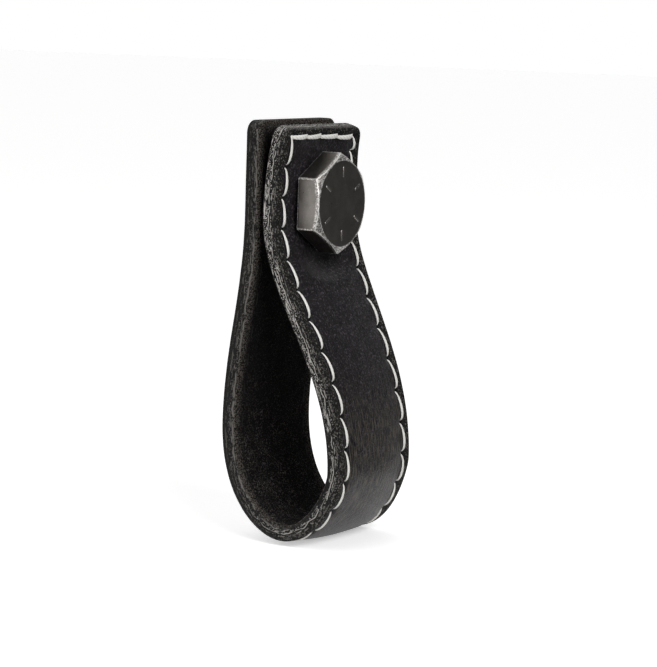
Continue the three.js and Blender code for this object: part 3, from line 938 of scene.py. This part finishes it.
def grain_leather():
    """Smooth black grain with a soft sheen, rubbed rough and grey outside the seam, with painted shade in
    the stitch holes, and rubbed streaks on the front belly that are also paler as a painted reflection of
    the floor.
    """
    dye_deep = colour(0.0032, 0.0026, 0.0036)
    dye_thin = colour(0.0068, 0.0056, 0.0076)
    speck = colour(0.082, 0.072, 0.086)
    rubbed_through_and_reflection = colour(0.084, 0.074, 0.06)
    dry_dye = colour(0.005, 0.0046, 0.0042)
    dry_fibre = colour(0.15, 0.142, 0.128)
    painted_hole_shade = colour(0.004, 0.004, 0.004)

    shader = Shader("grain_leather")
    clouds = shader.noise(5.0)
    fine = shader.noise(0.22, detail=4.0)
    grit = shader.noise(0.34, detail=2.0, roughness=0.6)
    streaks = shader.noise(0.4, detail=4.0, vector=shader.strip_vector(0.16, 1.6))
    pebbles = shader.cells(0.55)
    along = shader.attribute("along")
    margin_from, margin_full = MARGIN_PAST_SEAM
    margin = shader.span(shader.attribute("inset"), SEAM_INSET - margin_from, SEAM_INSET - margin_full)
    # painted reflection: the front belly's rubbed streaks are paler than the wear alone would make them,
    # standing in for the floor's reflection there
    rub_and_reflection_zone = shader.times(
        shader.span(along, *past(foot_at, RUB_AND_REFLECTION_PAST_FOOT)),
        shader.span(along, *past(front_belly_at, RUB_AND_REFLECTION_PAST_BELLY)),
    )

    dyed = shader.blend(shader.span(clouds, 0.3, 0.7), dye_deep, dye_thin)
    specked = shader.blend(shader.span(grit, 0.52, 0.7), dyed, speck)
    rub_and_reflection = shader.times(shader.span(streaks, 0.46, 0.62), shader.span(rub_and_reflection_zone, 0.0, 1.0, 0.15, 1.0))
    streaked = shader.blend(rub_and_reflection, specked, rubbed_through_and_reflection)
    dry = shader.blend(shader.span(grit, 0.53, 0.66), dry_dye, dry_fibre)
    rubbed = shader.blend(margin, streaked, dry)
    # painted shade: the stitch holes and the leather drawn in round them are darkened towards black
    pits = shader.span(shader.attribute("gather"), 0.35, 0.9)
    dullness = shader.math("ADD", margin, shader.times(fine, 0.5))
    shader.set(
        Base_Color=shader.blend(pits, rubbed, painted_hole_shade),
        Roughness=shader.span(dullness, 0.1, 1.2, 0.42, 0.9),
        Specular_IOR_Level=0.27,
    )
    relief = shader.bump(pebbles, 0.05)
    relief = shader.bump(streaks, 0.05, relief)
    shader.set(Normal=shader.bump(grit, 0.07, relief))
    return shader.material


def raw_edge():
    """The cut edge: pale fibre in the dye, layers along the strip, and a split that runs with them. Light
    and shade are painted on it: the front leg's edge is paler and palest above its belly, the back leg's is
    darker, and a painted shadow lies along the flesh side of the front leg's lower edge.
    """
    dye = colour(0.004, 0.0036, 0.0034)
    shaded_back_fibre = colour(0.115, 0.107, 0.098)
    lit_front_fibre = colour(0.36, 0.345, 0.32)
    lit_upper_fibre = colour(0.6, 0.575, 0.54)
    shaded_back_outer_fibre = colour(0.075, 0.07, 0.064)
    lit_front_outer_fibre = colour(0.15, 0.14, 0.128)
    paint = colour(0.006, 0.0055, 0.005)
    layer_black = colour(0.006, 0.0055, 0.0055)
    split_black = colour(0.004, 0.004, 0.004)
    lip_pale = colour(0.42, 0.4, 0.375)
    inner_painted_shadow = colour(0.005, 0.0045, 0.0042)
    corner_pale = colour(0.17, 0.158, 0.143)

    shader = Shader("raw_edge")
    grit = shader.noise(0.28, detail=2.0, roughness=0.6)
    fibres = shader.noise(0.4, detail=3.0, vector=shader.strip_vector(0.22, 3.4), roughness=0.65)
    patches = shader.noise(1.4, detail=3.0)
    layers = shader.noise(0.55, detail=4.0, vector=shader.strip_vector(0.12, 3.2))
    wander = shader.noise(1.0, detail=2.0, vector=shader.strip_vector(0.3, 0.0))
    breaks = shader.noise(1.0, detail=2.0, vector=shader.strip_vector(0.45, 0.4))
    level = shader.attribute("level")
    along = shader.attribute("along")
    on_front = shader.span(along, *past(foot_at, FRONT_EDGE_PAST_FOOT))
    on_back = shader.math("SUBTRACT", 1.0, on_front)
    upper_front = shader.span(along, *past(front_belly_at, UPPER_EDGE_PAST_BELLY))
    uneven = shader.math("ADD", level, shader.span(patches, 0.2, 0.8, -0.15, 0.15))
    outer = shader.span(uneven, *OUTER_BAND)

    # painted light: the fibre is paler on the front leg and palest above its belly, as lit, and darker on
    # the back leg, as in shade
    fibre = shader.blend(on_front, shaded_back_fibre, lit_front_fibre)
    fibre = shader.blend(upper_front, fibre, lit_upper_fibre)
    fibre = shader.blend(outer, fibre, shader.blend(on_front, shaded_back_outer_fibre, lit_front_outer_fibre))
    shown = shader.math("MAXIMUM", shader.span(grit, 0.56, 0.62), shader.span(fibres, 0.54, 0.61))
    lit = shader.times(shown, shader.span(patches, 0.25, 0.65, 0.65, 1.0))
    specked = shader.blend(lit, dye, fibre)
    painted = shader.blend(shader.times(shader.span(level, *PAINTED_BAND), on_back), specked, paint)
    layered = shader.blend(shader.span(layers, 0.54, 0.64, 0.0, 0.8), painted, layer_black)

    split = shader.math("ADD", level, shader.span(wander, 0.3, 0.7, -0.1, 0.1))

    def broken_line(place, thickness, gaps):
        near = shader.span(shader.distance(split, place), *thickness)
        return shader.times(near, shader.span(breaks, *gaps))

    dark_line = broken_line(SPLIT_LEVEL, (0.08, 0.03), (0.34, 0.44))
    pale_line = shader.times(broken_line(SPLIT_LIP_LEVEL, (0.05, 0.02), (0.38, 0.5)), on_front)
    corner_line = shader.times(broken_line(CORNER_LINE_LEVEL, (0.09, 0.03), (0.4, 0.5)), on_back)
    # painted shadow: the flesh side's corner of the front leg's lower cut edge is darkened to black
    inner = shader.times(shader.span(uneven, *INNER_SHADOW_BAND), on_front)
    lined = shader.blend(dark_line, layered, split_black)
    lined = shader.blend(shader.times(pale_line, 0.85), lined, lip_pale)
    lined = shader.blend(shader.math("SUBTRACT", inner, upper_front), lined, inner_painted_shadow)
    lined = shader.blend(shader.times(corner_line, 0.7), lined, corner_pale)
    shader.set(Base_Color=lined, Roughness=0.85, Specular_IOR_Level=0.25)
    relief = shader.bump(layers, 0.12)
    shader.set(Normal=shader.bump(grit, 0.12, relief))
    return shader.material


def flesh_leather():
    """The inside: a short black nap that takes the light away."""
    dye = colour(0.003, 0.0026, 0.0028)
    nap_tips = colour(0.04, 0.036, 0.035)
    foot_nap_tips = colour(0.13, 0.118, 0.11)
    rim_dye = colour(0.007, 0.006, 0.0056)
    rim_fibre = colour(0.12, 0.108, 0.096)

    shader = Shader("flesh_leather")
    nap = shader.noise(0.3, detail=4.0, roughness=0.7)
    patches = shader.noise(3.0, detail=3.0)
    lit = shader.times(shader.span(nap, 0.5, 0.64), shader.span(patches, 0.3, 0.7, 0.35, 1.0))
    from_foot = shader.distance(shader.attribute("along"), foot_at)
    tips = shader.blend(shader.span(from_foot, *FUZZ_FROM_FOOT), nap_tips, foot_nap_tips)
    dyed = shader.blend(lit, dye, tips)
    frayed = shader.blend(shader.span(nap, 0.46, 0.58), rim_dye, rim_fibre)
    rim = shader.span(shader.attribute("inset"), *FRAYED_RIM)
    shader.set(Base_Color=shader.blend(rim, dyed, frayed), Roughness=0.95, Specular_IOR_Level=0.06)
    shader.set(Normal=shader.bump(nap, 0.15))
    return shader.material


def thread_material(name, ply_shade_and_dirt, ridge, shine):
    """Twisted waxed thread, with painted shade between its plies and patches of dirt in that same darker
    colour.
    """
    shader = Shader(name)
    fibres = shader.noise(0.09, detail=3.0)
    dirt = shader.noise(2.2, detail=3.0)
    ply = shader.span(shader.attribute("ply"), 0.05, 0.6)
    # painted shade: the colour darkens between the plies, where the twist lies in shade
    twisted = shader.blend(ply, ply_shade_and_dirt, ridge)
    shader.set(
        Base_Color=shader.blend(shader.span(dirt, 0.55, 0.8, 0.0, 0.25), twisted, ply_shade_and_dirt),
        Roughness=0.62,
        Specular_IOR_Level=shine,
    )
    shader.set(Normal=shader.bump(fibres, 0.03))
    return shader.material


def dark_steel():
    """Blackened steel, bare and bright where its edges are worn. The bare metal is drawn pale and half
    diffuse, as painted glints, and on the flats it is also a painted reflection.
    """
    black_deep = colour(0.2, 0.184, 0.17)
    black_thin = colour(0.27, 0.25, 0.232)
    scuff_grey = colour(0.45, 0.43, 0.4)
    bare_steel_and_glints = colour(0.9, 0.88, 0.85)

    shader = Shader("dark_steel")
    sparkle = shader.noise(0.3, detail=3.0, roughness=0.75)
    clouds = shader.noise(3.0)
    scuffs = shader.noise(0.5, detail=5.0)
    worn = shader.attribute("worn")
    specks = shader.span(sparkle, 0.46, 0.56)
    full = shader.span(worn, 0.92, 0.99)
    bare = shader.times(shader.span(worn, 0.3, 0.9), shader.math("MAXIMUM", specks, full))
    dark = shader.blend(shader.span(clouds, 0.3, 0.7), black_deep, black_thin)
    scuffed = shader.blend(shader.span(sparkle, 0.56, 0.68, 0.0, 0.3), dark, scuff_grey)
    # painted glints: worn, bare places take a pale colour and less metal, so that the lamp lights them like
    # sparkle
    shader.set(
        Base_Color=shader.blend(bare, scuffed, bare_steel_and_glints),
        Metallic=shader.span(bare, 0.1, 0.9, 1.0, 0.45),
        Roughness=shader.span(scuffs, 0.2, 0.8, 0.27, 0.4),
    )
    relief = shader.bump(scuffs, 0.012)
    rough_edges = shader.times(sparkle, worn)
    shader.set(Normal=shader.bump(rough_edges, 0.1, relief))
    return shader.material


# Studio

def make_camera():
    azimuth = math.radians(VIEW_AZIMUTH)
    pitch = math.radians(VIEW_PITCH)
    roll = math.radians(VIEW_ROLL)
    towards_x = -math.sin(azimuth) * math.cos(pitch)
    towards_y = -math.cos(azimuth) * math.cos(pitch)
    back = Vector((towards_x, towards_y, math.sin(pitch)))
    level = Vector((math.cos(azimuth), -math.sin(azimuth), 0))
    upright = back.cross(level)
    right = level * math.cos(roll) + upright * math.sin(roll)
    up = upright * math.cos(roll) - level * math.sin(roll)
    middle_of_face = Vector((0, head_face, 0))
    place = middle_of_face + back * VIEW_DISTANCE + right * VIEW_ASIDE + up * VIEW_LIFT
    data = bpy.data.cameras.new("camera")
    data.sensor_fit = "HORIZONTAL"
    data.sensor_width = SENSOR_WIDTH
    data.lens = VIEW_LENS
    data.clip_start = CLIP_START
    data.clip_end = CLIP_END
    camera = add_object("camera", data)
    axes = Matrix((right, up, back)).transposed().to_4x4()
    camera.matrix_world = Matrix.Translation(place * MILLIMETRE) @ axes
    bpy.context.scene.camera = camera


def make_world():
    """White behind the object and dim on the room's side. The camera sees plain white everywhere."""
    white = colour(1, 1, 1)
    world = bpy.data.worlds.new("studio")
    bpy.context.scene.world = world
    world.use_nodes = True
    world.node_tree.nodes.clear()
    nodes = Nodes(world.node_tree)
    direction = nodes.add("ShaderNodeTexCoord").outputs["Generated"]
    behind = nodes.add("ShaderNodeSeparateXYZ", {0: direction}).outputs["Y"]
    level = nodes.span(behind, WORLD_DIM_FROM, WORLD_WHITE_FROM, WORLD_DIM, 1.0)
    studio = nodes.add("ShaderNodeBackground", {"Color": white, "Strength": level}).outputs[0]
    plain = nodes.add("ShaderNodeBackground", {"Color": white, "Strength": 1.0}).outputs[0]
    seen = nodes.add("ShaderNodeLightPath").outputs["Is Camera Ray"]
    mixed = nodes.add("ShaderNodeMixShader", {0: seen, 1: studio, 2: plain}).outputs[0]
    nodes.add("ShaderNodeOutputWorld", {"Surface": mixed})


def make_key_lamp():
    data = bpy.data.lights.new("key", "AREA")
    data.shape = "DISK"
    data.size = KEY_SIZE
    data.energy = KEY_POWER
    lamp = add_object("key", data)
    towards = Vector(KEY_DIRECTION).normalized()
    lamp.location = (cad_low + cad_high) / 2 + towards * KEY_DISTANCE
    lamp.rotation_mode = "QUATERNION"
    lamp.rotation_quaternion = towards.to_track_quat("Z", "Y")


def floor_material():
    """White, lifted towards the camera so that only the shadow shows, and dim on the room's side."""
    black = colour(0, 0, 0)
    white = colour(FLOOR_WHITE, FLOOR_WHITE, FLOOR_WHITE)

    shader = Shader("floor")
    rays = shader.add("ShaderNodeLightPath").outputs
    depth = shader.add("ShaderNodeSeparateXYZ", {0: shader.place()}).outputs["Y"]
    behind = shader.span(depth, FLOOR_DIM_FROM * MILLIMETRE, FLOOR_WHITE_FROM * MILLIMETRE, FLOOR_DIM, 1.0)
    seen = rays["Is Camera Ray"]
    shade = shader.blend(shader.math("MAXIMUM", seen, behind), black, white)
    shader.set(Base_Color=shade, Roughness=0.9, Specular_IOR_Level=0.0)
    mirrored = shader.math("ADD", rays["Is Glossy Ray"], rays["Is Transmission Ray"])
    mirrored = shader.times(mirrored, behind)
    lift = shader.times(shader.math("ADD", seen, mirrored), FLOOR_LIFT)
    glow = shader.add("ShaderNodeEmission", {"Strength": lift}).outputs[0]
    both = shader.add("ShaderNodeAddShader", {0: shader.surface.outputs[0], 1: glow}).outputs[0]
    shader.put(shader.tree.nodes["Material Output"].inputs["Surface"], both)
    return shader.material


def make_floor(height):
    near, far = -FLOOR_REACH, FLOOR_REACH
    points = [(near, near, height), (far, near, height), (far, far, height), (near, far, height)]
    floor = make_object("floor", points, [(0, 1, 2, 3)], [floor_material()])


def place_piece(piece, node):
    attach(piece, "root")
    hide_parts(node)


make_camera()
make_world()
make_key_lamp()

strap = make_strap([grain_leather(), raw_edge(), flesh_leather()])
strap.data.set_sharp_from_angle(angle=math.radians(STRAP_SHARP_ANGLE))
place_piece(strap, "leather_strap")

pale = thread_material("pale_waxed_thread", colour(0.66, 0.62, 0.54), colour(0.97, 0.955, 0.91), 0.4)
pale_seam = make_seam("pale_seam", pale, 1, PALE_HALF_SIZES, PALE_DIP, PALE_RISE, PALE_FOOT_RISE)
place_piece(pale_seam, "face_thread")

dark = thread_material("dark_waxed_thread", colour(0.003, 0.003, 0.003), colour(0.008, 0.0075, 0.0075), 0.1)
dark_seam = make_seam("dark_seam", dark, -1, DARK_HALF_SIZES, DARK_DIP, DARK_RISE, DARK_RISE)
place_piece(dark_seam, "lower_thread")

bolt = make_bolt(dark_steel())
place_piece(bolt, "hex_bolt")

visual_low, visual_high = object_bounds()
make_floor(visual_low.z / MILLIMETRE)

bpy.context.scene.view_settings.view_transform = "Standard"
